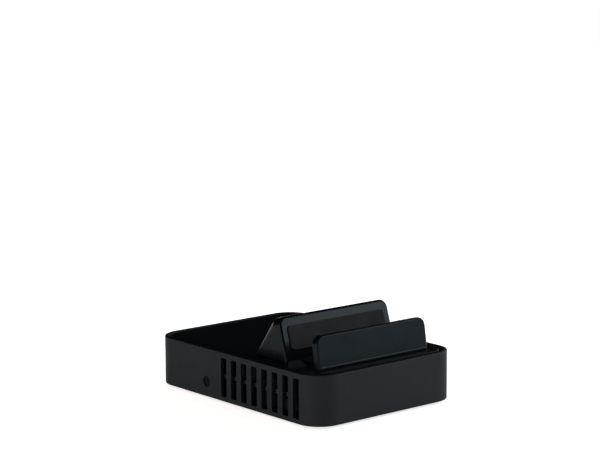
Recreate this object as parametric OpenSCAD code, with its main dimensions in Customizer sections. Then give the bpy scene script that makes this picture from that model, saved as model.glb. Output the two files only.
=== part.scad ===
// Low stand for a handheld console. A vented housing holds the board and its sockets, and a lid with a
// front lip, a sloping seat, a plug and a backrest drops into the housing's rim.
// Millimetres, Z up, front towards -Y, origin under the middle of the stand where its feet rest.

/* [Body] */
// Width of the housing across the front
body_w = 72; // [66:1:90]
// Depth of the housing from front to back
body_d = 100; // [96:1:125]
// Height of the housing from its underside to its rim
body_h = 19.4; // [19:0.2:25]
// Radius of the upright corners in plan
corner_r = 10; // [8:0.5:12]
// Radius of the edge round the underside
under_edge_r = 0.4; // [0.3:0.1:1.2]
// Radius of the outer edge of the rim
rim_edge_r = 0.35; // [0.2:0.05:0.5]
// Thickness of the upright walls
wall = 1.2; // [1.1:0.1:1.9]
// Thickness of the floor
floor_t = 1.8; // [1.5:0.1:1.9]

/* [Side vents] */
// Number of vents in each side wall
vent_count = 8; // [4:1:8]
// Distance from one vent to the next
vent_pitch = 6.2; // [5:0.1:6.6]
// Width of one vent along the side
vent_w = 3.45; // [2.4:0.05:3.9]
// Distance from the front face to the first vent
vent_setback = 10; // [10:0.5:14]
// Height of the vents' lower ends above the underside
vent_low = 1.9; // [1.9:0.1:4]
// Distance from the vents' upper ends to the rim
vent_top = 2.2; // [2.1:0.1:4]
// Radius of the corners of a vent
vent_r = 0.4; // [0.2:0.1:0.8]

/* [Lid] */
// Thickness of the lid's panel
panel_t = 2; // [1.8:0.1:2.1]
// Width of the groove between the rim and the panel
groove_w = 1.9; // [1.4:0.1:2.6]
// Depth of that groove below the rim
groove_depth = 1; // [0.6:0.1:1.1]
// Clearance between the lid and the walls
lid_gap = 0.15; // [0.1:0.05:0.3]
// Radius of the edge round the panel
panel_edge_r = 0.3; // [0.2:0.1:0.5]

/* [Front lip] */
// Width of the lip
lip_w = 55.4; // [48:0.2:58]
// Height of the lip above the panel
lip_h = 12.7; // [10:0.1:16]
// Thickness of the lip
lip_t = 3; // [2.4:0.1:3.4]
// Angle by which the lip leans back
lip_lean = 9; // [9:0.5:12]
// Distance from the front face to the foot of the lip
lip_setback = 8; // [7:0.1:10]
// Radius of the lip's upper corners
lip_corner_r = 3.5; // [2:0.1:5]
// Radius of the lip's edges
lip_edge_r = 0.7; // [0.4:0.1:1]
// Radius of the fillet at the foot of the lip
lip_fillet_r = 1.2; // [0.6:0.1:2]

/* [Seat and backrest] */
// Angle by which the console leans back
lean = 17; // [13:1:20]
// Width of the slot for the console, measured across the console
slot_w = 15.8; // [14:0.2:17]
// Width of the seat
seat_w = 42; // [38:1:46]
// Height of the seat's front edge above the panel
seat_rise = 5; // [4.4:0.1:6.4]
// Thickness of the seat
seat_t = 2; // [1.6:0.1:2.4]
// Width of the backrest
backrest_w = 55.4; // [48:0.2:58]
// Height of the backrest above the panel
backrest_h = 16.5; // [13:0.5:22]
// Depth of the backrest where it meets the panel
backrest_foot = 19; // [16:1:24]
// Thickness of the backrest's crest
backrest_crest = 5; // [4.5:0.1:6]
// Thickness of the backrest's shell
backrest_shell = 1.8; // [1.5:0.1:2.2]
// Thickness of the soft pads on the lip and the backrest
pad_t = 0.8; // [0.5:0.1:1]
// Distance from the pads' edges to the edges of what carries them
pad_margin = 3.5; // [2.5:0.1:5]

/* [Feet] */
// Diameter of a rubber foot
foot_d = 9; // [7:0.5:10]
// Height of the feet below the housing
foot_h = 1; // [0.6:0.1:2]
// Depth of the pockets that hold the feet
foot_pocket = 0.8; // [0.5:0.1:1]
// Distance from a foot's centre to the two nearest faces
foot_inset = 11; // [9:0.5:12]

/* [Lid screws] */
// Diameter of the screws' shanks
lid_screw_d = 2.5; // [2:0.1:2.8]
// Length of the screws under the head
lid_screw_len = 10; // [8:0.5:12]
// Distance from a screw to the middle of the stand
lid_screw_x = 26; // [25:0.5:28]
// Distance from the front face to the front screws
lid_screw_front = 24; // [22:0.5:26]
// Distance from the rear face to the rear screws
lid_screw_rear = 20; // [19:0.5:22]
// Height of the housing's screw posts above the underside
post_h = 6; // [5:0.2:7]
// Depth of the holes that hide the screws' heads
head_hole_depth = 2.4; // [2:0.1:3]

/* [Board] */
// Thickness of the circuit board
board_t = 1.6; // [1:0.1:2]
// Height of the board's underside above the housing's underside
board_rise = 8.6; // [8.2:0.1:9.2]
// Clearance between the board and the walls
board_gap = 1.1; // [0.7:0.1:1.3]
// Distance from the front face to the board's front edge
board_setback = 16; // [14:0.5:18]
// Distance from a board screw to the middle of the stand
board_screw_x = 29; // [28.5:0.1:29.5]
// Distance from the front face to the front board screws
board_screw_front = 34; // [32:0.5:37]
// Distance from the rear face to the rear board screws
board_screw_rear = 9; // [8:0.5:10]
// Diameter of the board screws' shanks
board_screw_d = 1.7; // [1.4:0.1:2]
// Length of the board screws under the head
board_screw_len = 6; // [4:0.5:7]

/* [Sockets] */
// Place of the power inlet across the rear, from the middle
power_x = -18.5; // [-20:0.5:-17.5]
// Place of the video socket across the rear, from the middle
video_x = -2.5; // [-3:0.5:-1.5]
// Place of the data socket across the rear, from the middle
data_x = 16; // [15:0.5:16.5]
// Clearance round a socket in the rear wall
port_gap = 0.3; // [0.2:0.05:0.4]

/* [Plug] */
// Width of the plug's metal shell
plug_w = 8.3; // [8:0.1:8.5]
// Thickness of the plug's metal shell
plug_t = 2.5; // [2.3:0.1:2.6]
// Length of the plug above the seat
plug_reach = 6.7; // [6:0.1:7]
// Wall thickness of the plug's shell
plug_shell_t = 0.3; // [0.2:0.05:0.35]

/* [Side light] */
// Diameter of the light guide
light_d = 4.2; // [3:0.1:4.4]
// Distance from the last vent to the light guide's centre
light_behind_vents = 9.2; // [6:0.2:10]
// Height of the light guide's centre above the underside
light_rise = 6.1; // [5.5:0.1:6.2]

/* [Hidden] */
$fn = 64;

// Reference heights and faces
base_z = foot_h;
rim_z = base_z + body_h;
front_y = -body_d / 2;
rear_y = body_d / 2;
board_z = base_z + board_rise;
board_top = board_z + board_t;
lid_under = rim_z - panel_t;
through = 1;
eps = 0.01;

// Side vents and the flat plates they are cut in
vent_h = body_h - vent_low - vent_top;
vents_end = vent_setback + vent_pitch * (vent_count - 1) + vent_w;
grille_margin = 2;
grille_lap = 0.5;
grille_half_d = body_d / 2 - vent_setback + grille_margin;

// Cradle: the slot's frame has its Y axis down the seat's slope and its Z axis up the console
lip_y = front_y + lip_setback;
lip_rear_y = lip_y + lip_t / cos(lip_lean) + seat_rise * tan(lip_lean);
slot_y = lip_rear_y + slot_w / 2 * cos(lean);
slot_z = rim_z + seat_rise - slot_w / 2 * sin(lean);
backrest_z = rim_z + seat_rise - slot_w * sin(lean);
backrest_y = lip_rear_y + slot_w * cos(lean) - (backrest_z - rim_z) * tan(lean);
crest_r = 1;
backrest_corner_r = 3.5;
seat_lap = 1;
hollow_wall = 1.6;
pad_corner_r = 1.5;
pad_edge_r = 0.3;
pad_lift = 1;

// Screws and their holes
screw_gap = 0.3;
thread_gap = 0.05;
lid_head_d = 4.6;
lid_head_h = 1.5;
post_d = 7.6;
boss_d = 6;
boss_hole = 0.8;
board_head_d = 3.4;
board_head_h = 1.2;
standoff_d = 5.4;
recess_w = 0.5;
recess_depth = 0.7;
recess_share = 0.6;
dome_share = 0.4;
bore_end_gap = 1;
lid_screw_spots = [for (side = [-1, 1], y = [front_y + lid_screw_front, rear_y - lid_screw_rear])
    [side * lid_screw_x, y]];
board_screw_spots = [for (side = [-1, 1], y = [front_y + board_screw_front, rear_y - board_screw_rear])
    [side * board_screw_x, y]];
foot_spots = [for (sx = [-1, 1], sy = [-1, 1])
    [sx * (body_w / 2 - foot_inset), sy * (body_d / 2 - foot_inset)]];

// Sockets: width, height, depth, shell thickness, corner radius
video_size = [15, 5.6, 11.5];
video_step = 1.6;
data_size = [13.1, 5.7, 14];
power_size = [9, 3.2, 8];
shell_t = 0.35;
shell_r = 0.5;
video_tongue = [11, 1.2];
data_tongue = [11, 1.8];
power_tongue = [6.6, 0.7];
tongue_base_d = 3;
tongue_lead = 1;

// Plug carrier
nose_size = [11, 5];
nose_gap = 0.3;
nose_proud = 0.4;
ear_size = [30, 7, 1.6];
ear_corner_r = 3;
ear_screw_x = 12;
ear_boss_h = 1.6;
ear_boss_d = 4;
carrier_size = [15, 7.4];
carrier_depth = 7;
carrier_corner_r = 1;
plug_board_t = 1;
plug_board_margin = [3, 1];
plug_root = 3;
plug_screw_d = 1.6;
plug_screw_len = 4;
plug_screw_spare = 0.5;
plug_head_d = 3;
plug_head_h = 1;
ear_z = -seat_t - ear_boss_h;

// Ribbon between the plug's board and the main board
ribbon_w = 10;
ribbon_t = 0.3;
ribbon_socket_size = [14, 4, 1.8];
ribbon_run = 24;
ribbon_socket_y = slot_y + ribbon_run;
ribbon_entry = 1;
ribbon_lead = 4;
ribbon_hold = 2;
ribbon_steps = 12;

// Parts on the main board: places from the middle of the stand, then sizes
board_half_w = body_w / 2 - wall - board_gap;
video_chip_spot = [5, 12];
video_chip_size = [10, 10, 1.3];
heat_sink_size = [14, 14, 4.4];
fin_count = 6;
fin_t = 0.9;
hub_chip_spot = [-13, 15];
hub_chip_size = [7, 7, 1.1];
power_chip_spot = [-15, 28];
power_chip_size = [5, 5, 1];
inductor_x = 19;
inductor_rows = [15, 24];
inductor_size = [6, 6, 3];
inductor_corner_r = 1;
tall_capacitor_inset = 4.7;
tall_capacitor_rows = [-5, 2];
tall_capacitor_size = [5, 5.4];
tall_capacitor_foot_r = 0.2;
tall_capacitor_top_r = 0.4;
flat_capacitor_x = [-19, -15, 12, 16, 20];
flat_capacitor_y = [-4, 2];
flat_capacitor_size = [2, 1.25, 0.9];
flat_capacitor_corner_r = 0.2;
crystal_spot = [-4, 24];
crystal_size = [5, 3.2, 1];
crystal_corner_r = 0.5;
lamp_size = [1.2, 3, 1.2];
lamp_gap = 0.4;

// Light guide
light_y = front_y + vents_end + light_behind_vents;
light_z = base_z + light_rise;
light_gap = 0.1;
light_flange_d = 5.6;
light_flange_t = 0.6;
light_inset = 0.3;
light_reach = 2.4;

// Points of an arc about c, from angle a0 to angle a1
function arc(c, r, a0, a1, steps = 5) =
    [for (i = [0:steps]) let (a = a0 + (a1 - a0) * i / steps) c + r * [cos(a), sin(a)]];

// A point of a cubic curve through p[0] and p[3], pulled by p[1] and p[2]
function curve_point(p, t) = pow(1 - t, 3) * p[0] + 3 * t * pow(1 - t, 2) * p[1]
    + 3 * t * t * (1 - t) * p[2] + t * t * t * p[3];

// Place in the stand's Y and Z of a point in the slot's frame
function from_slot(y, z) =
    [slot_y + y * cos(lean) + z * sin(lean), slot_z - y * sin(lean) + z * cos(lean)];

// Rectangle with round corners
module soft_rect(w, h, r) {
    square([w - 2 * r, h], center = true);
    square([w, h - 2 * r], center = true);
    for (x = [-1, 1], y = [-1, 1]) translate([x * (w / 2 - r), y * (h / 2 - r)]) circle(r);
}

// Half of a slab's cross section, from its middle to its edge, with its lower and upper corners rounded
module edge_section(half, h, low, high) {
    polygon(concat([[0, 0]], arc([half - low, low], low, -90, 0),
        arc([half - high, h - high], high, 0, 90), [[0, h]]));
}

// Slab with round corners in plan and rounded lower and upper edges
module soft_slab(w, d, h, r, low, high) {
    for (x = [-1, 1], y = [-1, 1]) translate([x * (w / 2 - r), y * (d / 2 - r), 0])
        rotate_extrude() edge_section(r, h, low, high);
    for (side = [0, 180]) rotate([0, 0, side]) {
        rotate([90, 0, 0]) linear_extrude(d - 2 * r, center = true) edge_section(w / 2, h, low, high);
        rotate([90, 0, 90]) linear_extrude(w - 2 * r, center = true) edge_section(d / 2, h, low, high);
    }
}

// Slab with round corners in plan and sharp edges
module plain_slab(w, d, h, r) {
    linear_extrude(h) soft_rect(w, d, r);
}

// Screw with its head below the origin and its shank upwards, a rounded head and a cross recess
module screw(d, len, head_d, head_h) {
    dome = head_h * dome_share;
    difference() {
        union() {
            cylinder(d = d, h = len);
            rotate_extrude() polygon(concat([[0, 0]],
                [[head_d / 2, 0]], arc([head_d / 2 - dome, dome - head_h], dome, 0, -90), [[0, -head_h]]));
        }
        for (turn = [0, 90]) rotate([0, 0, turn]) translate([0, 0, -head_h])
            cube([head_d * recess_share, recess_w, 2 * recess_depth], center = true);
    }
}

// Puts its children in the slot's frame
module in_slot() {
    translate([0, slot_y, slot_z]) rotate([-lean, 0, 0]) children();
}

// Puts its children in the lip's frame: X across, Y up the lip, Z towards the front, origin at the foot
module on_lip() {
    translate([0, lip_y, rim_z]) rotate([90 - lip_lean, 0, 0]) children();
}

// Puts its children on the backrest's front face: X across, Y up the face, Z towards the front
module on_backrest() {
    translate([0, backrest_y, rim_z]) rotate([90 - lean, 0, 0]) children();
}

// Everything above the lid's underside, wide enough to trim what stands on the lid
module above_lid() {
    translate([-body_w, -body_d, lid_under]) cube([2 * body_w, 2 * body_d, 2 * body_h]);
}

module vents() {
    for (side = [-1, 1], i = [0:vent_count - 1])
        translate([side * body_w / 2, front_y + vent_setback + vent_w / 2 + i * vent_pitch,
                   base_z + vent_low + vent_h / 2])
            rotate([0, 90, 0]) linear_extrude(2 * wall + through, center = true)
                soft_rect(vent_h, vent_w, vent_r);
}

// Outline of the video socket: the lower corners step in
module video_outline(grow) {
    w = video_size[0] / 2 + grow;
    top = video_size[1] + grow;
    foot = w - video_step;
    polygon([[-foot, -grow], [foot, -grow], [w, video_step], [w, top], [-w, top], [-w, video_step]]);
}

module data_outline(grow) {
    translate([0, data_size[1] / 2])
        soft_rect(data_size[0] + 2 * grow, data_size[1] + 2 * grow, shell_r);
}

module power_outline(grow) {
    h = power_size[1] + 2 * grow;
    translate([0, power_size[1] / 2]) soft_rect(power_size[0] + 2 * grow, h, h / 2 - eps);
}

// Stands an outline up in the rear wall: its own X across, its own Y up from the board, depth forwards
module at_rear(x, depth) {
    translate([x, rear_y, board_top]) rotate([90, 0, 0]) linear_extrude(depth) children();
}

module port_holes() {
    depth = 2 * wall;
    translate([0, wall / 2, 0]) {
        at_rear(video_x, depth) video_outline(port_gap);
        at_rear(data_x, depth) data_outline(port_gap);
        at_rear(power_x, depth) power_outline(port_gap);
    }
}

module lid_screw_holes() {
    for (spot = lid_screw_spots) translate([spot[0], spot[1], base_z]) {
        translate([0, 0, -through]) cylinder(d = lid_head_d + 2 * screw_gap, h = head_hole_depth + through);
        cylinder(d = lid_screw_d + screw_gap, h = post_h + through);
    }
}

// The tub before its side plates are parted from it
module tub() {
    difference() {
        translate([0, 0, base_z]) soft_slab(body_w, body_d, body_h, corner_r, under_edge_r, rim_edge_r);
        translate([0, 0, base_z + floor_t])
            plain_slab(body_w - 2 * wall, body_d - 2 * wall, body_h, corner_r - wall);
    }
}

// The room of the two side plates, a little wider than the walls
module grille_room() {
    inner = body_w / 2 - wall - grille_lap;
    for (side = [0, 180]) rotate([0, 0, side]) translate([inner, -grille_half_d, base_z - through])
        cube([body_w / 2 - inner + through, 2 * grille_half_d, body_h + 2 * through]);
}

module housing() color([0.13, 0.14, 0.15]) {
    difference() {
        union() {
            tub();
            for (spot = lid_screw_spots) translate([spot[0], spot[1], base_z + floor_t / 2])
                cylinder(d = post_d, h = post_h - floor_t / 2);
            for (spot = board_screw_spots) translate([spot[0], spot[1], base_z + floor_t / 2])
                cylinder(d = standoff_d, h = board_rise - floor_t / 2);
        }
        grille_room();
        port_holes();
        lid_screw_holes();
        for (spot = board_screw_spots) translate([spot[0], spot[1], board_z - board_screw_len])
            cylinder(d = board_screw_d + 2 * thread_gap, h = board_screw_len + through);
        for (spot = foot_spots) translate([spot[0], spot[1], base_z - through])
            cylinder(d = foot_d + screw_gap, h = foot_pocket + through);
    }
}

// Vented plates set flush into the housing's sides
module side_grilles() color([0.13, 0.14, 0.15]) {
    difference() {
        intersection() {
            tub();
            grille_room();
        }
        vents();
        translate([-body_w / 2 - through, light_y, light_z]) rotate([0, 90, 0])
            cylinder(d = light_d + 2 * light_gap, h = wall + 2 * through);
    }
}

module lip() {
    depth = panel_t + lip_corner_r * 2;
    intersection() {
        on_lip() translate([0, (lip_h / cos(lip_lean) - depth) / 2, -lip_t])
            soft_slab(lip_w, lip_h / cos(lip_lean) + depth, lip_t, lip_corner_r, lip_edge_r, lip_edge_r);
        above_lid();
    }
}

// Concave fillet along the foot of the lip, sunk a little into the lip and the panel
module lip_fillet() {
    run = lip_fillet_r / tan((90 + lip_lean) / 2);
    centre = [-run, lip_fillet_r];
    translate([0, lip_y, rim_z]) rotate([90, 0, 90])
        linear_extrude(lip_w - 2 * lip_edge_r, center = true)
            polygon(concat(arc(centre, lip_fillet_r, -90, -lip_lean), [[lip_t / 2, lip_fillet_r / 2],
                [lip_t / 2, -panel_t / 2], [-run, -panel_t / 2]]));
}

// Sloping seat: it rises behind the lip and runs down to the backrest
module seat() {
    rear = from_slot(slot_w / 2 + seat_lap, 0);
    translate([-seat_w / 2, 0, 0]) rotate([90, 0, 90]) linear_extrude(seat_w)
        polygon([[lip_y + lip_t / 2, lid_under],
            [lip_rear_y - seat_lap, rim_z + seat_rise + seat_lap * tan(lean)], rear, [rear[0], lid_under]]);
}

// The room under the seat for the plug's carrier
module seat_hollow() {
    depth = 2 * (panel_t + seat_rise);
    in_slot() translate([-seat_w / 2 + seat_t, -slot_w / 2 + hollow_wall, -depth])
        cube([seat_w - 2 * seat_t, slot_w - 2 * hollow_wall, depth - seat_t]);
}

// Bosses under the seat that the carrier's ears are screwed to
module ear_bosses() {
    in_slot() for (side = [-1, 1]) translate([side * ear_screw_x, 0, ear_z])
        cylinder(d = ear_boss_d, h = ear_boss_h + seat_t / 2);
}

// The backrest's outer form: a leaning front face, a crest and a slope down to the rear
module backrest() {
    inner_w = backrest_w / 2 - backrest_corner_r;
    face_h = backrest_h / cos(lean);
    sunk = panel_t / 4;
    hull() {
        on_backrest() for (side = [-1, 1])
            translate([side * inner_w, face_h - backrest_corner_r, -backrest_crest])
                rotate_extrude($fn = 32)
                    edge_section(backrest_corner_r, backrest_crest, crest_r, crest_r);
        for (side = [-1, 1]) translate([side * (backrest_w / 2 - crest_r), 0, rim_z - 3 * sunk]) {
            translate([0, backrest_y - sunk * tan(lean) + crest_r, 0])
                cylinder(r = crest_r, h = 2 * sunk, $fn = 32);
            translate([0, backrest_y + backrest_foot - crest_r, 0])
                cylinder(r = crest_r, h = 3 * sunk, $fn = 32);
        }
    }
}

// The room inside the backrest, open downwards
module backrest_hollow() {
    front = backrest_y + backrest_shell / cos(lean);
    top = backrest_h - backrest_shell - crest_r;
    crest_y = backrest_y + top * tan(lean) + backrest_shell / cos(lean);
    rear = backrest_y + backrest_foot - 2 * backrest_shell;
    translate([0, 0, rim_z]) rotate([90, 0, 90])
        linear_extrude(backrest_w - 2 * backrest_corner_r, center = true)
            polygon([[front - 2 * panel_t * tan(lean), -2 * panel_t], [crest_y, top],
                [crest_y + eps, top], [rear, 0], [rear, -2 * panel_t]]);
}

module lid_bosses() {
    for (spot = lid_screw_spots) translate([spot[0], spot[1], base_z + post_h])
        cylinder(d = boss_d, h = lid_under + panel_t / 2 - base_z - post_h);
}

module lid_boss_bores() {
    for (spot = lid_screw_spots) translate([spot[0], spot[1], base_z + post_h - through])
        cylinder(d = lid_screw_d + 2 * thread_gap,
            h = head_hole_depth + lid_screw_len - post_h + through + bore_end_gap);
}

module plug_window() {
    in_slot() translate([0, 0, -seat_t - through]) plain_slab(nose_size[0] + 2 * nose_gap,
        nose_size[1] + 2 * nose_gap, seat_t + 2 * through, carrier_corner_r);
}

module cradle_lid() color([0.06, 0.07, 0.08]) {
    inset = wall + lid_gap;
    panel_inset = wall + groove_w;
    difference() {
        union() {
            difference() {
                union() {
                    translate([0, 0, lid_under]) plain_slab(body_w - 2 * inset, body_d - 2 * inset,
                        panel_t - groove_depth, corner_r - inset);
                    translate([0, 0, lid_under]) soft_slab(body_w - 2 * panel_inset,
                        body_d - 2 * panel_inset, panel_t, corner_r - panel_inset, eps, panel_edge_r);
                    lip();
                    lip_fillet();
                    seat();
                    backrest();
                }
                seat_hollow();
                backrest_hollow();
            }
            lid_bosses();
            ear_bosses();
        }
        lid_boss_bores();
        plug_window();
        in_slot() for (side = [-1, 1]) translate([side * ear_screw_x, 0, ear_z - through])
            cylinder(d = plug_screw_d + 2 * thread_gap, h = plug_screw_len - ear_size[2] + through);
    }
}

module lip_pad() color([0.09, 0.09, 0.1]) {
    height = lip_h - seat_rise - pad_margin;
    middle = (seat_rise + lip_h - pad_margin / 2) / 2 / cos(lip_lean) + pad_lift;
    on_lip() translate([0, middle, -lip_t - pad_t])
        soft_slab(lip_w - 2 * pad_margin, height, pad_t, pad_corner_r, pad_edge_r, eps);
}

module backrest_pad() color([0.09, 0.09, 0.1]) {
    height = backrest_h - 2 * pad_margin;
    on_backrest() translate([0, backrest_h / 2 / cos(lean), eps])
        soft_slab(backrest_w - 2 * pad_margin, height, pad_t, pad_corner_r, eps, pad_edge_r);
}

module rubber_feet() color([0.08, 0.08, 0.08]) {
    edge = 0.4;
    for (spot = foot_spots) translate([spot[0], spot[1], 0])
        rotate_extrude() edge_section(foot_d / 2, foot_h + foot_pocket, edge, eps);
}

module lid_screws() color("silver") {
    for (spot = lid_screw_spots) translate([spot[0], spot[1], base_z + head_hole_depth])
        screw(lid_screw_d, lid_screw_len, lid_head_d, lid_head_h);
}

module circuit_board() color([0.05, 0.2, 0.12]) {
    inset = wall + board_gap;
    w = 2 * board_half_w;
    d = body_d - 2 * inset;
    difference() {
        translate([0, 0, board_z]) plain_slab(w, d, board_t, corner_r - inset);
        translate([-body_w / 2, front_y, board_z - through])
            cube([body_w, board_setback, board_t + 2 * through]);
        for (spot = lid_screw_spots) translate([spot[0], spot[1], board_z - through])
            cylinder(d = boss_d + 2 * boss_hole, h = board_t + 2 * through);
        for (spot = board_screw_spots) translate([spot[0], spot[1], board_z - through])
            cylinder(d = board_screw_d + screw_gap, h = board_t + 2 * through);
    }
}

module board_screws() color("silver") {
    for (spot = board_screw_spots) translate([spot[0], spot[1], board_top]) rotate([180, 0, 0])
        screw(board_screw_d, board_screw_len, board_head_d, board_head_h);
}

// Block that holds the plug: a nose in the seat's window, two ears and a body above the plug's board
module plug_carrier() color([0.1, 0.1, 0.11]) {
    in_slot() difference() {
        union() {
            translate([0, 0, ear_z - ear_size[2]])
                plain_slab(ear_size[0], ear_size[1], ear_size[2], ear_corner_r);
            translate([0, 0, -carrier_depth])
                plain_slab(carrier_size[0], carrier_size[1], carrier_depth + ear_z, carrier_corner_r);
            translate([0, 0, ear_z - through]) plain_slab(nose_size[0], nose_size[1],
                nose_proud + through - ear_z, carrier_corner_r - nose_gap);
        }
        translate([0, 0, -plug_root]) linear_extrude(plug_root + nose_proud + through)
            plug_outline(thread_gap);
        for (side = [-1, 1]) translate([side * ear_screw_x, 0, ear_z - ear_size[2] - through])
            cylinder(d = plug_screw_d + screw_gap, h = ear_size[2] + 2 * through);
    }
}

module plug_outline(grow) {
    h = plug_t + 2 * grow;
    soft_rect(plug_w + 2 * grow, h, h / 2 - eps);
}

module plug_shell() color("silver") {
    in_slot() translate([0, 0, -plug_root]) difference() {
        linear_extrude(plug_root + plug_reach) plug_outline(0);
        translate([0, 0, plug_shell_t]) linear_extrude(plug_root + plug_reach) plug_outline(-plug_shell_t);
    }
}

// Insulator inside the plug, with the slot that a socket's tongue enters
module plug_insert() color([0.05, 0.05, 0.05]) {
    slot_t = 0.8;
    slot_depth = 5.5;
    end_wall = 0.6;
    inside_w = plug_w - 2 * plug_shell_t;
    in_slot() translate([0, 0, plug_shell_t - plug_root]) difference() {
        linear_extrude(plug_root + plug_reach - plug_shell_t - 0.3) plug_outline(-plug_shell_t - thread_gap);
        translate([0, 0, plug_root + plug_reach - slot_depth])
            linear_extrude(slot_depth) square([inside_w - 2 * end_wall, slot_t], center = true);
    }
}

module plug_board() color([0.05, 0.2, 0.12]) {
    in_slot() translate([0, 0, -carrier_depth - plug_board_t])
        plain_slab(carrier_size[0] + plug_board_margin[0], carrier_size[1] + plug_board_margin[1],
            plug_board_t, carrier_corner_r);
}

module plug_screws() color("silver") {
    in_slot() for (side = [-1, 1]) translate([side * ear_screw_x, 0, ear_z - ear_size[2]])
        screw(plug_screw_d, plug_screw_len - plug_screw_spare, plug_head_d, plug_head_h);
}

// Flat ribbon from under the plug's board, back and down to its socket on the main board
module plug_ribbon() color([0.75, 0.6, 0.4]) {
    level = -carrier_depth - plug_board_t - ribbon_t / 2;
    leave = from_slot((carrier_size[1] + ribbon_hold) / 2, level);
    end = [ribbon_socket_y - ribbon_socket_size[1] / 2 + ribbon_entry,
        board_top + ribbon_socket_size[2] / 2];
    pull = [leave, leave + ribbon_lead * [cos(lean), -sin(lean)], end - [2 * ribbon_lead, 0], end];
    path = concat([from_slot(-ribbon_hold, level)],
        [for (i = [0:ribbon_steps]) curve_point(pull, i / ribbon_steps)]);
    half = [0, ribbon_t / 2];
    rotate([90, 0, 90]) linear_extrude(ribbon_w, center = true)
        polygon(concat([for (p = path) p - half], [for (i = [len(path) - 1:-1:0]) path[i] + half]));
}

module ribbon_socket() color([0.9, 0.88, 0.8]) {
    mouth = [ribbon_w + ribbon_t, 3 * ribbon_entry, 2 * ribbon_t];
    translate([0, ribbon_socket_y, board_top + ribbon_socket_size[2] / 2]) difference() {
        cube(ribbon_socket_size, center = true);
        translate([0, -ribbon_socket_size[1] / 2, 0]) cube(mouth, center = true);
    }
}

module video_socket_shell() color("silver") {
    depth = video_size[2];
    difference() {
        at_rear(video_x, depth) video_outline(0);
        translate([0, through, 0]) at_rear(video_x, depth + through - shell_t) video_outline(-shell_t);
    }
}

// A socket's tongue on its base block, which fills the inner end of the shell
module tongue(x, size, tongue_size, tongue_z, base_w) {
    translate([x, rear_y, board_top]) {
        translate([-base_w / 2, -size[2] + shell_t, shell_t])
            cube([base_w, tongue_base_d, size[1] - 2 * shell_t]);
        translate([-tongue_size[0] / 2, -size[2] + shell_t + tongue_base_d - eps,
                   tongue_z - tongue_size[1] / 2])
            cube([tongue_size[0], size[2] - tongue_base_d - shell_t - tongue_lead, tongue_size[1]]);
    }
}

module video_socket_tongue() color([0.08, 0.08, 0.08]) {
    base_w = video_size[0] - 2 * video_step - 2 * shell_t;
    tongue(video_x, video_size, video_tongue, video_size[1] * 0.45, base_w);
}

module data_socket_shell() color("silver") {
    difference() {
        at_rear(data_x, data_size[2]) data_outline(0);
        translate([0, through, 0]) at_rear(data_x, data_size[2] + through - shell_t)
            data_outline(-shell_t);
    }
}

module data_socket_tongue() color([0.1, 0.2, 0.45]) {
    tongue(data_x, data_size, data_tongue, data_size[1] * 0.66, data_size[0] - 2 * shell_r - 2 * shell_t);
}

module power_inlet_shell() color("silver") {
    difference() {
        at_rear(power_x, power_size[2]) power_outline(0);
        translate([0, through, 0]) at_rear(power_x, power_size[2] + through - shell_t)
            power_outline(-shell_t);
    }
}

module power_inlet_tongue() color([0.08, 0.08, 0.08]) {
    tongue(power_x, power_size, power_tongue, power_size[1] / 2, power_size[0] - power_size[1]);
}

// Flat chip with a chamfered pin-one corner, and its legs as one band round its foot
module chip(spot, size) {
    leg = 0.6;
    leg_t = 0.25;
    notch = 1.2;
    translate([spot[0], spot[1], board_top]) {
        translate([0, 0, leg_t]) linear_extrude(size[2] - leg_t) difference() {
            square([size[0], size[1]], center = true);
            translate([-size[0] / 2, -size[1] / 2]) rotate(45) square(notch, center = true);
        }
        linear_extrude(leg_t + eps) square([size[0] + 2 * leg, size[1] - 2 * leg], center = true);
        linear_extrude(leg_t + eps) square([size[0] - 2 * leg, size[1] + 2 * leg], center = true);
    }
}

module video_chip() color([0.1, 0.1, 0.1]) {
    chip(video_chip_spot, video_chip_size);
}

module heat_sink() color([0.6, 0.6, 0.62]) {
    plate = 1;
    pitch = (heat_sink_size[0] - fin_t) / (fin_count - 1);
    translate([video_chip_spot[0] - heat_sink_size[0] / 2, video_chip_spot[1] - heat_sink_size[1] / 2,
               board_top + video_chip_size[2]]) {
        cube([heat_sink_size[0], heat_sink_size[1], plate]);
        for (i = [0:fin_count - 1]) translate([i * pitch, 0, plate / 2])
            cube([fin_t, heat_sink_size[1], heat_sink_size[2] - plate / 2]);
    }
}

module hub_chip() color([0.1, 0.1, 0.1]) {
    chip(hub_chip_spot, hub_chip_size);
}

module power_chip() color([0.1, 0.1, 0.1]) {
    chip(power_chip_spot, power_chip_size);
}

module inductors() color([0.25, 0.25, 0.27]) {
    for (y = inductor_rows) translate([inductor_x, y, board_top])
        plain_slab(inductor_size[0], inductor_size[1], inductor_size[2], inductor_corner_r);
}

module tall_capacitors() color([0.75, 0.75, 0.78]) {
    for (y = tall_capacitor_rows) translate([tall_capacitor_inset - board_half_w, y, board_top])
        rotate_extrude() edge_section(tall_capacitor_size[0] / 2, tall_capacitor_size[1],
            tall_capacitor_foot_r, tall_capacitor_top_r);
}

module flat_capacitors() color([0.7, 0.6, 0.45]) {
    for (x = flat_capacitor_x, y = flat_capacitor_y) translate([x, y, board_top])
        plain_slab(flat_capacitor_size[0], flat_capacitor_size[1], flat_capacitor_size[2],
            flat_capacitor_corner_r);
}

module crystal() color("silver") {
    translate([crystal_spot[0], crystal_spot[1], board_top])
        plain_slab(crystal_size[0], crystal_size[1], crystal_size[2], crystal_corner_r);
}

// Lamp under the board's edge that shines into the light guide
module indicator_lamp() color([0.9, 0.9, 0.8]) {
    translate([-body_w / 2 + wall + light_reach + lamp_gap, light_y - lamp_size[1] / 2,
               board_z - lamp_size[2]]) cube(lamp_size);
}

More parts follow.
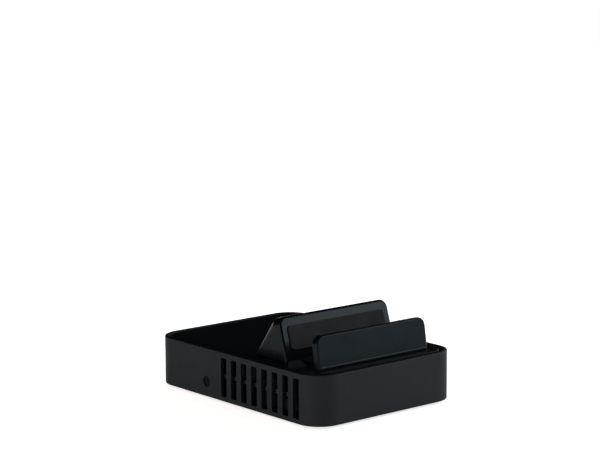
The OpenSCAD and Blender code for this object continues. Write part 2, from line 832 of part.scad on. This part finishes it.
module light_guide() color([0.15, 0.15, 0.15]) {
    translate([-body_w / 2 + light_inset, light_y, light_z]) rotate([0, 90, 0]) {
        cylinder(d = light_d, h = wall + light_reach - light_inset);
        translate([0, 0, wall - light_inset]) cylinder(d = light_flange_d, h = light_flange_t);
    }
}

housing();
side_grilles();
cradle_lid();
lip_pad();
backrest_pad();
rubber_feet();
lid_screws();
circuit_board();
board_screws();
plug_carrier();
plug_shell();
plug_insert();
plug_board();
plug_screws();
plug_ribbon();
ribbon_socket();
video_socket_shell();
video_socket_tongue();
data_socket_shell();
data_socket_tongue();
power_inlet_shell();
power_inlet_tongue();
video_chip();
heat_sink();
hub_chip();
power_chip();
inductors();
tall_capacitors();
flat_capacitors();
crystal();
indicator_lamp();
light_guide();
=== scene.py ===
# %% [markdown]
# # A console stand
# A small black stand on which a handheld console leans back. Its solids come from the CAD model, so their
# shapes and places are fixed. This notebook gives them their finishes, adds the small metal contacts that
# the CAD model leaves out, and sets up the camera, the floor and the lamps. All lengths are in metres.

# %% Load the frame
import math

import bmesh
import bpy
from mathutils import Matrix, Vector


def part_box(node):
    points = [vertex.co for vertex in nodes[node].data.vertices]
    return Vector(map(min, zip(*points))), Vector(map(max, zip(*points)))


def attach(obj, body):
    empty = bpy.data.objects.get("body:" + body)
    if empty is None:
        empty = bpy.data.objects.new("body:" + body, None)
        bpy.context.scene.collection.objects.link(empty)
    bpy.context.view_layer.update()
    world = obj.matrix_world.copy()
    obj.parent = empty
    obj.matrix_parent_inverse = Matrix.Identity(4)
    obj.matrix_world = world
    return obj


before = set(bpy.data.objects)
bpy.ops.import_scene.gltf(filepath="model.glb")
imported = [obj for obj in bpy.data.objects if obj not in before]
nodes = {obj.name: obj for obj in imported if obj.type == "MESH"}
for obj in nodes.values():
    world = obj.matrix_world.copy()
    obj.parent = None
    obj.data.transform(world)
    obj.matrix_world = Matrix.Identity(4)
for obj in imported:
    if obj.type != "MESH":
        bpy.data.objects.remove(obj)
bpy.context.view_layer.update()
bpy.ops.object.select_all(action="DESELECT")

# %% [markdown]
# ## The camera
# The camera was fitted to the stand's straight edges in the photograph. It stands about 0.77 m away, 40
# degrees to the left of the front, and looks down by about 10 degrees. A long lens keeps the verticals
# nearly parallel. The turn is built from three plain rotations, in the order in which a photographer makes
# them: pan, tilt down, then a touch of roll.

# %% Camera
CAMERA_PLACE = (-0.4772, -0.5680, 0.1874)
PAN, TILT, ROLL = -39.949, 9.578, -0.348  # degrees
LENS, SENSOR_WIDTH = 115.376, 36  # mm
bpy.ops.object.camera_add(location=CAMERA_PLACE)
camera = bpy.context.object
camera.name = "camera"
camera.data.sensor_width = SENSOR_WIDTH
camera.data.lens = LENS
camera.rotation_euler = (
    Matrix.Rotation(math.radians(PAN), 3, "Z")
    @ Matrix.Rotation(math.radians(90 - TILT), 3, "X")
    @ Matrix.Rotation(math.radians(ROLL), 3, "Z")
).to_euler()
camera.data.clip_start, camera.data.clip_end = 0.01, 50
bpy.context.scene.camera = camera
bpy.context.scene.view_settings.view_transform = "Standard"
print("camera at", CAMERA_PLACE, "lens", camera.data.lens)

# %% [markdown]
# ## Helpers for node trees
# Each finish is a small tree of nodes. `add` puts one node in a tree and fills its sockets, either with a
# number or colour, or with another node's output, so that a finish reads as a short list.


# %% Node helpers
def add(tree, kind, inputs=None, **settings):
    """A new node; inputs maps a socket's name or number to a value or to another node's output."""
    made = tree.nodes.new(kind)
    for name, value in settings.items():
        setattr(made, name, value)
    for socket, value in (inputs or {}).items():
        if isinstance(value, bpy.types.NodeSocket):
            tree.links.new(value, made.inputs[socket])
        else:
            made.inputs[socket].default_value = value
    return made


def sums(tree, operation, a, b=0.0, clamp=False):
    """The output of a Math node."""
    return add(tree, "ShaderNodeMath", {0: a, 1: b}, operation=operation, use_clamp=clamp).outputs[0]


def spread(tree, value, low, high, to_low=0.0, to_high=1.0):
    """Maps a value from one range to another and clamps it."""
    ends = {"Value": value, "From Min": low, "From Max": high, "To Min": to_low, "To Max": to_high}
    return add(tree, "ShaderNodeMapRange", ends).outputs["Result"]


def mix(tree, share, a, b):
    """The colour between a and b."""
    made = add(tree, "ShaderNodeMix", {"Factor": share}, data_type="RGBA")
    for socket, value in ((6, a), (7, b)):
        if isinstance(value, bpy.types.NodeSocket):
            tree.links.new(value, made.inputs[socket])
        else:
            made.inputs[socket].default_value = value
    return made.outputs[2]


def shade(red, green, blue):
    return (red, green, blue, 1.0)


def new_group(name, inputs, outputs):
    """An empty node group with named sockets, each with its kind and, for an input, its first value."""
    tree = bpy.data.node_groups.new(name, "ShaderNodeTree")
    for label, kind, value in inputs:
        socket = tree.interface.new_socket(label, in_out="INPUT", socket_type="NodeSocket" + kind)
        if value is not None:
            socket.default_value = value
    for label, kind in outputs:
        tree.interface.new_socket(label, in_out="OUTPUT", socket_type="NodeSocket" + kind)
    return tree, tree.nodes.new("NodeGroupInput"), tree.nodes.new("NodeGroupOutput")


print("helpers ready")

# %% [markdown]
# ## Moulded skin
# Moulded plastic copies the steel of its mould. A housing's mould is spark eroded, which leaves a fine, even
# grain of shallow pits a fifth of a millimetre across. Handling then adds slow changes in gloss, and no
# moulding is the same black all over. The group gives those three things: a colour, a roughness and a height
# for the grain. It reads Object coordinates, so the grain stays on the plastic.

# %% Group: moulded skin
skin, source, result = new_group(
    "moulded skin",
    [("Vector", "Vector", None), ("Colour", "Color", (0.02, 0.02, 0.02, 1)),
     ("Deeper colour", "Color", (0.01, 0.01, 0.01, 1)), ("Grain per metre", "Float", 4000.0),
     ("Smoothest", "Float", 0.4), ("Roughest", "Float", 0.6)],
    [("Colour", "Color"), ("Roughness", "Float"), ("Height", "Float")])
place = source.outputs["Vector"]
cloud = add(skin, "ShaderNodeTexNoise", {"Vector": place, "Scale": 45.0, "Detail": 3.0, "Roughness": 0.55})
smudge = add(skin, "ShaderNodeTexNoise", {"Vector": place, "Scale": 160.0, "Detail": 4.0, "Roughness": 0.6})
pits = add(skin, "ShaderNodeTexVoronoi",
           {"Vector": place, "Scale": source.outputs["Grain per metre"], "Randomness": 1.0},
           feature="SMOOTH_F1")
fine = add(skin, "ShaderNodeTexNoise",
           {"Vector": place, "Scale": source.outputs["Grain per metre"], "Detail": 2.0})
tone = mix(skin, spread(skin, cloud.outputs["Fac"], 0.35, 0.65),
           source.outputs["Deeper colour"], source.outputs["Colour"])
gloss = add(skin, "ShaderNodeMapRange", {
    "Value": smudge.outputs["Fac"], "From Min": 0.3, "From Max": 0.7,
    "To Min": source.outputs["Smoothest"], "To Max": source.outputs["Roughest"]})
grain = sums(skin, "ADD", sums(skin, "MULTIPLY", pits.outputs["Distance"], 0.6),
             sums(skin, "MULTIPLY", fine.outputs["Fac"], 0.4))
for label, value in (("Colour", tone), ("Roughness", gloss.outputs["Result"]), ("Height", grain)):
    skin.links.new(value, result.inputs[label])
print("group", skin.name, "with", len(skin.nodes), "nodes")

# %% [markdown]
# ## Dust
# Dust settles on what faces up. The group reads how far the surface faces up, breaks the dust into patches
# with noise, and lightens the colour there. The soft pads use it.

# %% Group: settled dust
DUST_COLOUR = shade(0.25, 0.24, 0.22)
dust, source, result = new_group(
    "settled dust",
    [("Vector", "Vector", None), ("Colour", "Color", (0.02, 0.02, 0.02, 1)), ("Amount", "Float", 0.1)],
    [("Colour", "Color")])
facing = add(dust, "ShaderNodeSeparateXYZ", {0: add(dust, "ShaderNodeNewGeometry").outputs["Normal"]})
specks = add(dust, "ShaderNodeTexNoise",
             {"Vector": source.outputs["Vector"], "Scale": 700.0, "Detail": 6.0, "Roughness": 0.7})
drift = add(dust, "ShaderNodeTexNoise", {"Vector": source.outputs["Vector"], "Scale": 60.0})
upward = spread(dust, facing.outputs["Z"], 0.5, 1.0)
patches = sums(dust, "MULTIPLY", spread(dust, specks.outputs["Fac"], 0.45, 0.75),
               spread(dust, drift.outputs["Fac"], 0.35, 0.7))
amount = sums(dust, "MULTIPLY", sums(dust, "MULTIPLY", upward, patches), source.outputs["Amount"])
lighter = mix(dust, amount, source.outputs["Colour"], DUST_COLOUR)
dust.links.new(lighter, result.inputs["Colour"])
print("group", dust.name, "with", len(dust.nodes), "nodes")

# %% [markdown]
# ## Upward faces
# This small group gives the share by which a surface faces up: 0 where the normal's Z is below From, and 1
# where it is above To. The housing and the lid use it to paint shade on their upward faces, which get a
# darker colour and a lower specular level, and are also made glossier.

# %% Group: upward share
upwards, source, result = new_group(
    "upward share", [("From", "Float", 0.2), ("To", "Float", 0.6)], [("Share", "Float")])
facing = add(upwards, "ShaderNodeSeparateXYZ", {0: add(upwards, "ShaderNodeNewGeometry").outputs["Normal"]})
upwards.links.new(spread(upwards, facing.outputs["Z"], source.outputs["From"], source.outputs["To"]),
                  result.inputs["Share"])
print("group", upwards.name, "with", len(upwards.nodes), "nodes")

# %% [markdown]
# ## Worked metal
# Pressed shells, screws and the heat sink carry fine lines from the tool or the rolling mill. Noise that is
# stretched along one axis looks like such lines. The Stretch input says how each axis is scaled before the
# noise is read, so one group serves parts that were worked in different directions.

# %% Group: worked metal
metal, source, result = new_group(
    "worked metal",
    [("Vector", "Vector", None), ("Stretch", "Vector", (1.0, 1.0, 1.0)),
     ("Colour", "Color", (0.6, 0.6, 0.6, 1)), ("Tarnish", "Color", (0.4, 0.38, 0.35, 1)),
     ("Smoothest", "Float", 0.2), ("Roughest", "Float", 0.4)],
    [("Colour", "Color"), ("Roughness", "Float"), ("Height", "Float")])
along = add(metal, "ShaderNodeVectorMath", {0: source.outputs["Vector"], 1: source.outputs["Stretch"]},
            operation="MULTIPLY").outputs[0]
lines = add(metal, "ShaderNodeTexNoise", {"Vector": along, "Scale": 5000.0, "Detail": 3.0})
stain = add(metal, "ShaderNodeTexNoise", {"Vector": source.outputs["Vector"], "Scale": 300.0, "Detail": 4.0})
tone = mix(metal, spread(metal, stain.outputs["Fac"], 0.45, 0.75),
           source.outputs["Colour"], source.outputs["Tarnish"])
gloss = add(metal, "ShaderNodeMapRange", {
    "Value": lines.outputs["Fac"], "From Min": 0.3, "From Max": 0.7,
    "To Min": source.outputs["Smoothest"], "To Max": source.outputs["Roughest"]})
for label, value in (("Colour", tone), ("Roughness", gloss.outputs["Result"]),
                     ("Height", lines.outputs["Fac"])):
    metal.links.new(value, result.inputs[label])
print("group", metal.name, "with", len(metal.nodes), "nodes")

# %% [markdown]
# ## Building a finish
# A finish is a material whose Principled shader takes colour, roughness and a bump from one of the groups.
# What is the same all over a piece, such as the specular level, is set on the shader itself.


# %% Finish helpers
def new_finish(name, **constants):
    """A material with a Principled shader and Object coordinates."""
    made = bpy.data.materials.new(name)
    made.use_nodes = True
    tree = made.node_tree
    tree.nodes.clear()
    shader = add(tree, "ShaderNodeBsdfPrincipled")
    for socket, value in constants.items():
        shader.inputs[socket.replace("_", " ")].default_value = value
    add(tree, "ShaderNodeOutputMaterial", {"Surface": shader.outputs[0]})
    return made, tree, shader, add(tree, "ShaderNodeTexCoord").outputs["Object"]


def use_group(tree, group, inputs):
    made = add(tree, "ShaderNodeGroup", node_tree=group)
    for socket, value in inputs.items():
        if isinstance(value, bpy.types.NodeSocket):
            tree.links.new(value, made.inputs[socket])
        else:
            made.inputs[socket].default_value = value
    return made


def press_in(tree, shader, height, distance, strength):
    """Turns a height into a bump on the shader's normal."""
    bump = add(tree, "ShaderNodeBump", {"Height": height, "Distance": distance, "Strength": strength})
    tree.links.new(bump.outputs["Normal"], shader.inputs["Normal"])


def moulded(name, colour, deeper, grain, smoothest, roughest, depth, dusty=0.0, above=None, **constants):
    """Moulded plastic or rubber, with settled dust where dusty is above 0.

    above gives the upward faces a painted shade, a darker colour and a lower specular level, and also
    gives them a share of the roughness."""
    made, tree, shader, place = new_finish(name, **constants)
    surface = use_group(tree, skin, {
        "Vector": place, "Colour": colour, "Deeper colour": deeper, "Grain per metre": grain,
        "Smoothest": smoothest, "Roughest": roughest})
    tint = surface.outputs["Colour"]
    if dusty:
        tint = use_group(tree, dust, {"Vector": place, "Colour": tint, "Amount": dusty}).outputs["Colour"]
    gloss = surface.outputs["Roughness"]
    # Painted shade: the upward faces' colour and specular level are lowered, standing in for light that
    # doesn't fall from above.
    if above:
        share = use_group(tree, upwards, {"From": above["start"], "To": above["end"]}).outputs["Share"]
        tint = mix(tree, share, tint, above["colour"])
        gloss = sums(tree, "MULTIPLY", gloss, spread(tree, share, 0.0, 1.0, 1.0, above["gloss"]))
        level = spread(tree, share, 0.0, 1.0, constants["Specular_IOR_Level"], above["specular"])
        tree.links.new(level, shader.inputs["Specular IOR Level"])
    tree.links.new(tint, shader.inputs["Base Color"])
    tree.links.new(gloss, shader.inputs["Roughness"])
    press_in(tree, shader, surface.outputs["Height"], depth, 0.5)
    return made


def worked(name, colour, tarnish, stretch, smoothest, roughest, depth=0.00001, **constants):
    """Bare or plated metal with lines across the axes that stretch makes fine."""
    made, tree, shader, place = new_finish(name, Metallic=1.0, **constants)
    surface = use_group(tree, metal, {
        "Vector": place, "Stretch": stretch, "Colour": colour, "Tarnish": tarnish,
        "Smoothest": smoothest, "Roughest": roughest})
    tree.links.new(surface.outputs["Colour"], shader.inputs["Base Color"])
    tree.links.new(surface.outputs["Roughness"], shader.inputs["Roughness"])
    press_in(tree, shader, surface.outputs["Height"], depth, 0.3)
    return made


def dress(finish, *names):
    """Gives CAD nodes their finish by their material slots."""
    for name in names:
        for slot in nodes[name].material_slots:
            slot.material = finish
        if not nodes[name].material_slots:
            nodes[name].data.materials.append(finish)
    print(finish.name, "on", ", ".join(names))


# %% [markdown]
# ## The housing and the lid
# The housing is matt black with a cold tint and a fine grain, and the upper face of its rim is painted nearly
# black, a painted shade for light that doesn't fall from above. The lid is a deeper, bluer black and
# smoother, and its upward faces, the panel among them, are glossier than its lip and carry a painted shade, a
# darker colour and a lower specular level. Both keep a low specular level, because the moulding's grain hides
# part of the surface's reflection.

# %% Finishes: housing and lid
# The above entries paint shade on the upward faces: their colour and specular level stand in for missing
# light from above.
housing_finish = moulded(
    "housing plastic", shade(0.0122, 0.0178, 0.0216), shade(0.0107, 0.0158, 0.0194), 4500.0,
    0.50, 0.58, 0.00002, Specular_IOR_Level=0.22,
    above={"start": 0.45, "end": 0.8, "colour": shade(0.0008, 0.0012, 0.0016), "gloss": 0.8,
           "specular": 0.03})
lid_finish = moulded(
    "lid plastic", shade(0.0031, 0.0063, 0.0096), shade(0.0026, 0.0054, 0.0084), 6000.0,
    0.27, 0.32, 0.00001, Specular_IOR_Level=0.24, Specular_Tint=shade(0.74, 0.92, 1.0),
    above={"start": 0.16, "end": 0.38, "colour": shade(0.0018, 0.0026, 0.0036), "gloss": 0.5,
           "specular": 0.015})
dress(housing_finish, "housing", "side_grilles")
dress(lid_finish, "cradle_lid")

# %% [markdown]
# ## Pads, feet and other mouldings
# The pads and feet are soft rubber, rougher than the plastic. The plug's carrier and the insulators in the
# sockets are plain black mouldings, the ribbon's socket is pale, and the tall capacitors have dark sleeves.
# The light guide is smoked, so it reads as a dark spot in the wall.

# %% Finishes: mouldings
dress(moulded("soft pad", shade(0.020, 0.020, 0.022), shade(0.013, 0.013, 0.015), 2600.0,
              0.75, 0.88, 0.00004, dusty=0.06, Specular_IOR_Level=0.2), "lip_pad", "backrest_pad")
dress(moulded("foot rubber", shade(0.030, 0.030, 0.030), shade(0.018, 0.018, 0.018), 2200.0,
              0.70, 0.85, 0.00003, Specular_IOR_Level=0.25), "rubber_feet")
dress(moulded("carrier plastic", shade(0.016, 0.016, 0.018), shade(0.010, 0.010, 0.012), 5000.0,
              0.38, 0.50, 0.00001, Specular_IOR_Level=0.4), "plug_carrier")
dress(moulded("contact plastic", shade(0.015, 0.015, 0.015), shade(0.009, 0.009, 0.009), 6000.0,
              0.35, 0.48, 0.00001, Specular_IOR_Level=0.4),
      "plug_insert", "video_socket_tongue", "data_socket_tongue", "power_inlet_tongue")
dress(moulded("pale plastic", shade(0.62, 0.58, 0.48), shade(0.50, 0.46, 0.38), 5000.0,
              0.40, 0.55, 0.00001), "ribbon_socket")
dress(moulded("chip resin", shade(0.022, 0.022, 0.022), shade(0.014, 0.014, 0.014), 9000.0,
              0.50, 0.65, 0.00001), "video_chip", "hub_chip", "power_chip")
dress(moulded("ferrite", shade(0.075, 0.075, 0.082), shade(0.045, 0.045, 0.050), 3500.0,
              0.60, 0.80, 0.00004), "inductors")
dress(moulded("lamp resin", shade(0.72, 0.70, 0.56), shade(0.60, 0.58, 0.46), 3000.0,
              0.15, 0.25, 0.00001), "indicator_lamp")
dress(moulded("capacitor sleeve", shade(0.010, 0.010, 0.012), shade(0.007, 0.007, 0.009), 3000.0,
              0.25, 0.40, 0.000005, Specular_IOR_Level=0.3), "tall_capacitors")
dress(moulded("guide plastic", shade(0.0015, 0.0015, 0.0020), shade(0.0010, 0.0010, 0.0014), 4000.0,
              0.30, 0.40, 0.000005, Specular_IOR_Level=0.1), "light_guide")

# %% [markdown]
# ## Metals
# The sockets' shells are pressed from plated sheet and the plug's shell is deep drawn, so their lines run
# along the way in. Screws are zinc plated and turned. The heat sink is extruded aluminium.

# %% Finishes: metals
dress(worked("socket steel", shade(0.64, 0.63, 0.61), shade(0.48, 0.46, 0.43), (1.0, 0.15, 1.0), 0.22, 0.36),
      "plug_shell", "video_socket_shell", "data_socket_shell", "power_inlet_shell", "crystal")
dress(worked("screw steel", shade(0.52, 0.53, 0.55), shade(0.36, 0.36, 0.35), (1.0, 1.0, 4.0), 0.28, 0.45),
      "lid_screws", "board_screws", "plug_screws")
dress(worked("sink aluminium", shade(0.56, 0.57, 0.59), shade(0.44, 0.45, 0.46), (2.0, 0.1, 2.0), 0.30, 0.46),
      "heat_sink")

# %% [markdown]
# ## The circuit boards
# A board is glass laminate under a dark solder mask. Copper tracks show through the mask as slightly lighter
# lines, and the cut edge shows the paler laminate, which is what glints inside the vents. A brick pattern
# gives the tracks, and the surface's normal tells the faces from the cut edges.

# %% Finish: board laminate
board_finish, tree, shader, place = new_finish("board laminate")
tracks = add(tree, "ShaderNodeTexBrick", {
    "Vector": place, "Color1": shade(0, 0, 0), "Color2": shade(0, 0, 0), "Mortar": shade(1, 1, 1),
    "Scale": 1.0, "Mortar Size": 0.00018, "Mortar Smooth": 0.1,
    "Brick Width": 0.0071, "Row Height": 0.0011}, offset=0.37, offset_frequency=3, squash=0.6,
    squash_frequency=4)
vias = add(tree, "ShaderNodeTexVoronoi", {"Vector": place, "Scale": 260.0, "Randomness": 0.9})
ring = spread(tree, vias.outputs["Distance"], 0.11, 0.09)
mask = mix(tree, sums(tree, "MULTIPLY", tracks.outputs["Color"], 0.75),
           shade(0.003, 0.006, 0.005), shade(0.008, 0.018, 0.013))
plated = mix(tree, ring, mask, shade(0.42, 0.40, 0.34))
weave = add(tree, "ShaderNodeTexNoise", {"Vector": place, "Scale": 2500.0, "Detail": 4.0})
edge = mix(tree, spread(tree, weave.outputs["Fac"], 0.35, 0.65), shade(0.020, 0.021, 0.021),
           shade(0.040, 0.043, 0.044))
up = add(tree, "ShaderNodeSeparateXYZ", {0: add(tree, "ShaderNodeNewGeometry").outputs["Normal"]})
flat = sums(tree, "GREATER_THAN", sums(tree, "ABSOLUTE", up.outputs["Z"]), 0.35)
tree.links.new(mix(tree, flat, edge, plated), shader.inputs["Base Color"])
tree.links.new(spread(tree, flat, 0.0, 1.0, 0.75, 0.32), shader.inputs["Roughness"])
press_in(tree, shader, tracks.outputs["Color"], 0.00003, 0.4)
dress(board_finish, "circuit_board", "plug_board")

# %% [markdown]
# ## The ribbon and the small ceramic chips
# The ribbon is amber film over flat copper strips half a millimetre apart. A ceramic capacitor is a tan block
# with tinned ends. Both patterns repeat along X, so each is drawn by folding X back and forth with a Math
# node set to Ping-Pong, which measures the distance to the nearest strip or chip.


# %% Finishes: ribbon and ceramic chips
def striped(name, half_pitch, first, second, low, high, gloss):
    """Two colours that change with the distance along X to the nearest multiple of twice half_pitch."""
    made, tree, shader, place = new_finish(name)
    across = add(tree, "ShaderNodeSeparateXYZ", {0: place}).outputs["X"]
    away = sums(tree, "PINGPONG", across, half_pitch)
    share = spread(tree, away, low, high)
    cloud = add(tree, "ShaderNodeTexNoise", {"Vector": place, "Scale": 900.0, "Detail": 3.0}).outputs["Fac"]
    dark = tuple(0.75 * c for c in first[:3]) + (1,)
    body = mix(tree, spread(tree, cloud, 0.3, 0.7), dark, first)
    tree.links.new(mix(tree, share, body, second), shader.inputs["Base Color"])
    tree.links.new(spread(tree, cloud, 0.3, 0.7, gloss, gloss + 0.12), shader.inputs["Roughness"])
    press_in(tree, shader, share, 0.00002, 0.5)
    return made


dress(striped("ribbon film", 0.00025, shade(0.46, 0.25, 0.08), shade(0.62, 0.40, 0.20),
              0.00009, 0.00013, 0.25), "plug_ribbon")
dress(striped("ceramic chip", 0.002, shade(0.42, 0.29, 0.17), shade(0.62, 0.61, 0.59),
              0.00055, 0.00065, 0.38), "flat_capacitors")

# %% [markdown]
# ## Gold contacts
# Each socket's tongue carries rows of thin gold contacts, and each contact's tip is bent towards the plastic
# so that a plug doesn't catch on it. One contact is modelled from a cube: it is stretched to its length, its
# front end is narrowed and pushed towards the tongue, and its edges are bevelled. Copies with their own
# meshes are then set along the tongue and joined to one piece.

# %% Finish: contact gold
gold_finish = worked("contact gold", shade(0.80, 0.58, 0.26), shade(0.62, 0.42, 0.18),
                     (1.0, 0.12, 1.0), 0.18, 0.30)


# %% Helpers: one contact, and a row of them
def one_contact(name, width, length, thickness, face_up):
    """A contact along Y from Y = 0, its tip towards +Y, that lies on Z = 0 or hangs under it."""
    bpy.ops.object.select_all(action="DESELECT")
    bpy.ops.mesh.primitive_cube_add(size=1, location=(0, 0, 0))
    made = bpy.context.object
    made.name = made.data.name = name
    bpy.ops.object.mode_set(mode="EDIT")
    bpy.ops.transform.resize(value=(width, length, thickness))
    lift = thickness / 2 if face_up else -thickness / 2
    bpy.ops.transform.translate(value=(0, length / 2, lift))
    shape = bmesh.from_edit_mesh(made.data)
    for face in shape.faces:
        face.select = face.normal.y > 0.9
    bmesh.update_edit_mesh(made.data)
    bpy.ops.mesh.extrude_region_move(TRANSFORM_OT_translate={"value": (0, thickness * 2, 0)})
    bpy.ops.transform.resize(value=(0.7, 1, 0.6))
    bpy.ops.transform.translate(value=(0, 0, -lift * 0.6))
    bpy.ops.object.mode_set(mode="OBJECT")
    soften = made.modifiers.new("soft edges", "BEVEL")
    soften.width, soften.segments = thickness * 0.3, 2
    bpy.ops.object.modifier_apply(modifier=soften.name)
    return made


def contact_row(name, spots, width, length, thickness):
    """Copies of one contact at spots, each (x, y, z, face_up), joined to one gold piece on the root body."""
    ways = {spot[3] for spot in spots}
    first = {up: one_contact(name + "_pattern", width, length, thickness, up) for up in ways}
    row = []
    for x, y, z, face_up in spots:
        copy = first[face_up].copy()
        copy.data = first[face_up].data.copy()
        bpy.context.collection.objects.link(copy)
        copy.data.transform(Matrix.Translation((x, y, z)))
        row.append(copy)
    for pattern in first.values():
        bpy.data.objects.remove(pattern)
    bpy.ops.object.select_all(action="DESELECT")
    for copy in row:
        copy.select_set(True)
    bpy.context.view_layer.objects.active = row[0]
    bpy.ops.object.join()
    piece = bpy.context.object
    piece.name = piece.data.name = name
    bpy.ops.object.shade_smooth_by_angle(angle=math.radians(30))
    piece.data.materials.clear()
    piece.data.materials.append(gold_finish)
    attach(piece, "root")
    print(name, len(row), "contacts,", len(piece.data.polygons), "faces")
    return piece


# %% [markdown]
# ## Contacts on the three tongues
# The tongues are CAD nodes, so their boxes say where the contacts lie across and along. The tongues' heights
# above the board repeat the CAD model's. The video socket has ten contacts above and nine below its tongue,
# the data socket has four below, and the power inlet has twelve on each face.

# %% Contacts: rear sockets
THICK, POWER_THICK = 0.00012, 0.00006
VIDEO_RISE, VIDEO_HALF = 0.0056 * 0.45, 0.0006  # a tongue's middle above the board, and half its thickness
DATA_RISE, DATA_HALF = 0.0057 * 0.66, 0.0009
POWER_RISE, POWER_HALF = 0.0032 / 2, 0.00035


def tongue_tip(name):
    """The tongue's middle across and the Y of its tip, from its node's box."""
    low, high = (Vector(corner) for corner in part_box(name))
    return (low.x + high.x) / 2, high.y


def both_faces(tongue, rise, half, above, below, pitch, reach):
    """Contact spots on a tongue's upper and lower faces, which start at reach behind its tip."""
    x, tip = tongue_tip(tongue)
    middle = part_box("circuit_board")[1][2] + rise
    spots = []
    for count, height, face_up in ((above, middle + half, True), (below, middle - half, False)):
        spots += [(x + (i - (count - 1) / 2) * pitch, tip - reach, height, face_up) for i in range(count)]
    return spots


contact_row("video_contacts", both_faces("video_socket_tongue", VIDEO_RISE, VIDEO_HALF, above=10, below=9,
                                         pitch=0.0010, reach=0.0062), 0.00045, 0.0052, THICK)
contact_row("data_contacts", both_faces("data_socket_tongue", DATA_RISE, DATA_HALF, above=0, below=4,
                                        pitch=0.0025, reach=0.0072), 0.0011, 0.0060, THICK)
contact_row("power_contacts", both_faces("power_inlet_tongue", POWER_RISE, POWER_HALF, above=12, below=12,
                                         pitch=0.0005, reach=0.0030), 0.00026, 0.0024, POWER_THICK)

# %% [markdown]
# ## The floor
# The floor is a wide pale sheet, lit by the lamps. To the camera it also glows, less near the stand and more
# with the distance, so that the stand keeps a soft shadow on a white ground. In mirror reflections it glows
# only behind the stand and to its right, where the photograph's white background is mirrored in the right
# hand edge. Elsewhere a mirrored floor stays dark, as black card beside a product makes it.

# %% Floor
FLOOR_RADIUS = 12
FLOOR_PAPER = shade(0.8, 0.8, 0.8)
bpy.ops.object.select_all(action="DESELECT")
bpy.ops.mesh.primitive_circle_add(vertices=96, radius=FLOOR_RADIUS, fill_type="NGON", location=(0, 0, 0))
floor = bpy.context.object
floor.name = floor.data.name = "studio_floor"
paper = bpy.data.materials.new("floor paper")
paper.use_nodes = True
tree = paper.node_tree
tree.nodes.clear()
place = add(tree, "ShaderNodeTexCoord").outputs["Object"]
far = add(tree, "ShaderNodeVectorMath", {0: place}, operation="LENGTH").outputs["Value"]
rays = add(tree, "ShaderNodeLightPath")
seen = sums(tree, "MAXIMUM", rays.outputs["Is Camera Ray"],
            sums(tree, "MAXIMUM", rays.outputs["Is Glossy Ray"], rays.outputs["Is Transmission Ray"]))
lit = add(tree, "ShaderNodeBsdfDiffuse", {"Color": FLOOR_PAPER})
parts = add(tree, "ShaderNodeSeparateXYZ", {0: place}).outputs
behind = sums(tree, "ADD", parts["X"], parts["Y"])
mirrored_glow = spread(tree, behind, 0.10, 0.50, 0.05, 1.0)
seen_glow = spread(tree, far, 0.04, 0.20, 0.74, 1.0)
glow_share = add(tree, "ShaderNodeMix", {
    0: rays.outputs["Is Camera Ray"], 2: mirrored_glow, 3: seen_glow})
glow = add(tree, "ShaderNodeEmission", {"Color": shade(1, 1, 1), "Strength": glow_share.outputs[0]})
both = add(tree, "ShaderNodeAddShader", {0: lit.outputs[0], 1: glow.outputs[0]})
pick = add(tree, "ShaderNodeMixShader", {0: seen, 1: lit.outputs[0], 2: both.outputs[0]})
add(tree, "ShaderNodeOutputMaterial", {"Surface": pick.outputs[0]})
floor.data.materials.append(paper)
print("floor", floor.name)

# %% [markdown]
# ## The lamps
# The stand is lit as small products are: a large soft box on each side and one above, and a dim even room.
# The left box is a little warm and lights the vented side, and the right one is a little cold and lights
# the front. The edge box draws the light line down the right hand edge, and the upper box fills from above.
# Little light comes from the camera's side, so the corner that faces it stays darker.


# %% Lamps and room
ROOM_LIGHT = 0.012


def soft_box(name, place, width, height, power, tint=(1, 1, 1), target=(0, 0, 0.012)):
    """A rectangular area lamp that faces the target; sizes in metres and power in watts."""
    bpy.ops.object.light_add(type="AREA", location=place)
    lamp = bpy.context.object
    lamp.name = lamp.data.name = name
    lamp.data.shape = "RECTANGLE"
    lamp.data.size, lamp.data.size_y = width, height
    lamp.data.energy, lamp.data.color = power, tint
    aim = Vector(target) - Vector(place)
    lamp.rotation_euler = aim.to_track_quat("-Z", "Y").to_euler()
    print(name, "at", place, "power", power)


soft_box("left_box", (-0.75, -0.04, 0.38), 0.6, 0.6, 4.3, tint=(1.0, 0.84, 0.78))
soft_box("right_box", (0.65, -0.50, 0.45), 0.6, 0.6, 6.0, tint=(0.93, 0.98, 1.0))
soft_box("edge_box", (0.80, 0.22, 0.34), 0.7, 0.5, 2.2)
soft_box("upper_box", (0.0, 0.1, 0.90), 0.6, 0.6, 0.7)
room = bpy.data.worlds.new("studio_room")
bpy.context.scene.world = room
room.use_nodes = True
background = room.node_tree.nodes["Background"]
background.inputs["Color"].default_value = shade(1, 1, 1)
background.inputs["Strength"].default_value = ROOM_LIGHT
